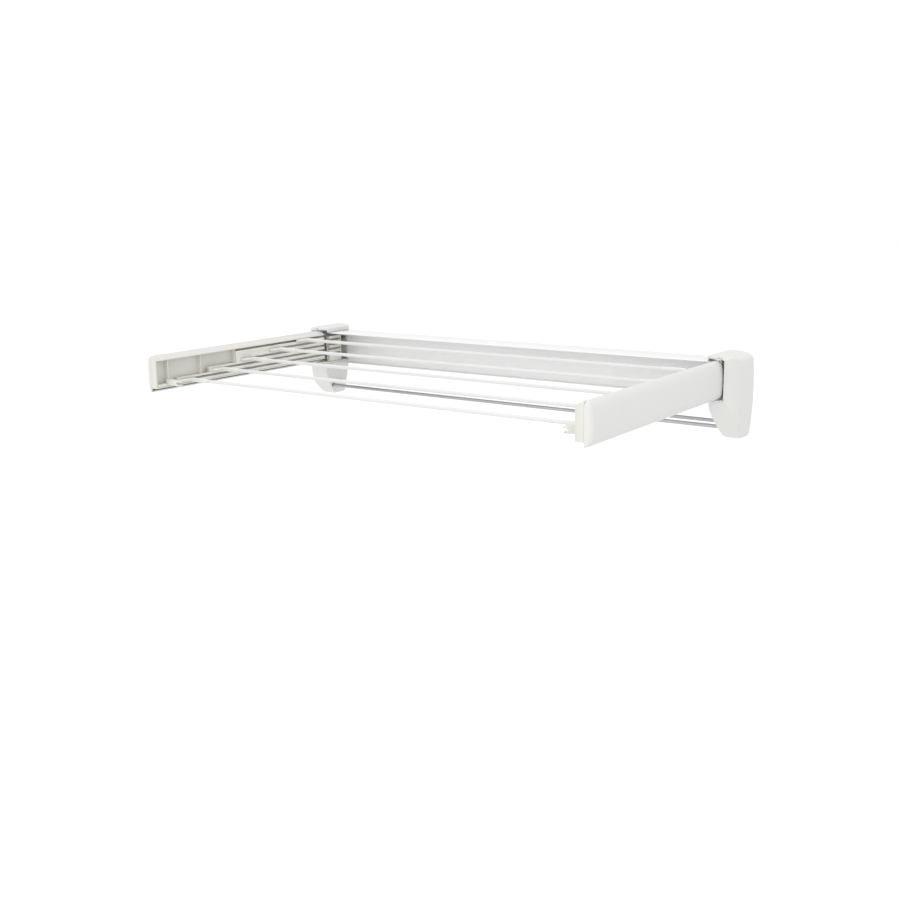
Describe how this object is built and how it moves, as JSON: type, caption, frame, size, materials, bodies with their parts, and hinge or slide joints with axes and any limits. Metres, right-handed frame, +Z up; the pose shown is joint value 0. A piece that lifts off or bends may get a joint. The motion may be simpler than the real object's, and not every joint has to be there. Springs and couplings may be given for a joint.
{
  "type": "wall-mounted pull-out drying rack",
  "caption": "White wall-mounted laundry drying rack with side arms on end brackets, drying rods that slide back under a hooded wall rail, and fixed towel rails below.",
  "frame": {"origin": "on the wall, at the centre of the wall rail's back face, half-way between the two brackets", "axes": "+X along the wall to the right as seen by the user, +Y into the wall, +Z up; the arms reach out along -Y"},
  "size_m": [1.0526, 0.5795, 0.1625],
  "materials": {
    "shell_plastic": "satin white moulded ABS",
    "body_plastic": "white moulded ABS, fine spark texture",
    "guide_plastic": "natural white acetal",
    "glider_plastic": "white moulded polypropylene",
    "rod_enamel": "white powder coat on steel tube",
    "coated_aluminium": "white powder coat on extruded aluminium",
    "rail_metal": "satin anodised tube",
    "zinc_steel": "zinc-plated"
  },
  "bodies": {
    "root": {"wall_rail": "coated_aluminium", "right_bracket_shell": "shell_plastic", "left_bracket_shell": "shell_plastic", "right_bracket_base": "body_plastic", "left_bracket_base": "body_plastic", "right_wall_screw_upper": "zinc_steel", "left_wall_screw_upper": "zinc_steel", "right_wall_screw_lower": "zinc_steel", "left_wall_screw_lower": "zinc_steel", "right_rail_screw_rear": "zinc_steel", "left_rail_screw_rear": "zinc_steel", "right_rail_screw_front": "zinc_steel", "left_rail_screw_front": "zinc_steel", "right_arm_body": "body_plastic", "left_arm_body": "body_plastic", "right_arm_cover": "shell_plastic", "left_arm_cover": "shell_plastic", "right_guide_insert": "guide_plastic", "left_guide_insert": "guide_plastic", "right_parking_comb": "guide_plastic", "left_parking_comb": "guide_plastic", "right_closing_clip": "guide_plastic", "left_closing_clip": "guide_plastic", "right_hinge_pin_upper": "zinc_steel", "left_hinge_pin_upper": "zinc_steel", "right_hinge_pin_lower": "zinc_steel", "left_hinge_pin_lower": "zinc_steel", "towel_rail_rear": "rail_metal", "towel_rail_front": "rail_metal"},
    "rod_1": {"drying_rod_1": "rod_enamel", "right_rod_glider_1": "glider_plastic", "left_rod_glider_1": "glider_plastic"},
    "rod_2": {"drying_rod_2": "rod_enamel", "right_rod_glider_2": "glider_plastic", "left_rod_glider_2": "glider_plastic"},
    "rod_3": {"drying_rod_3": "rod_enamel", "right_rod_glider_3": "glider_plastic", "left_rod_glider_3": "glider_plastic"},
    "rod_4": {"drying_rod_4": "rod_enamel", "right_rod_glider_4": "glider_plastic", "left_rod_glider_4": "glider_plastic"},
    "rod_5": {"drying_rod_5": "rod_enamel", "right_rod_glider_5": "glider_plastic", "left_rod_glider_5": "glider_plastic"}
  },
  "joints": [
    {"name": "rod_1_slide", "type": "slide", "parent": "root", "child": "rod_1", "axis": [0, 1, 0], "range_m": [0, 0.461]},
    {"name": "rod_2_slide", "type": "slide", "parent": "root", "child": "rod_2", "axis": [0, 1, 0], "range_m": [0, 0.375]},
    {"name": "rod_3_slide", "type": "slide", "parent": "root", "child": "rod_3", "axis": [0, 1, 0], "range_m": [0, 0.289]},
    {"name": "rod_4_slide", "type": "slide", "parent": "root", "child": "rod_4", "axis": [0, 1, 0], "range_m": [0, 0.203]},
    {"name": "rod_5_slide", "type": "slide", "parent": "root", "child": "rod_5", "axis": [0, 1, 0], "range_m": [0, 0.117]}
  ]
}
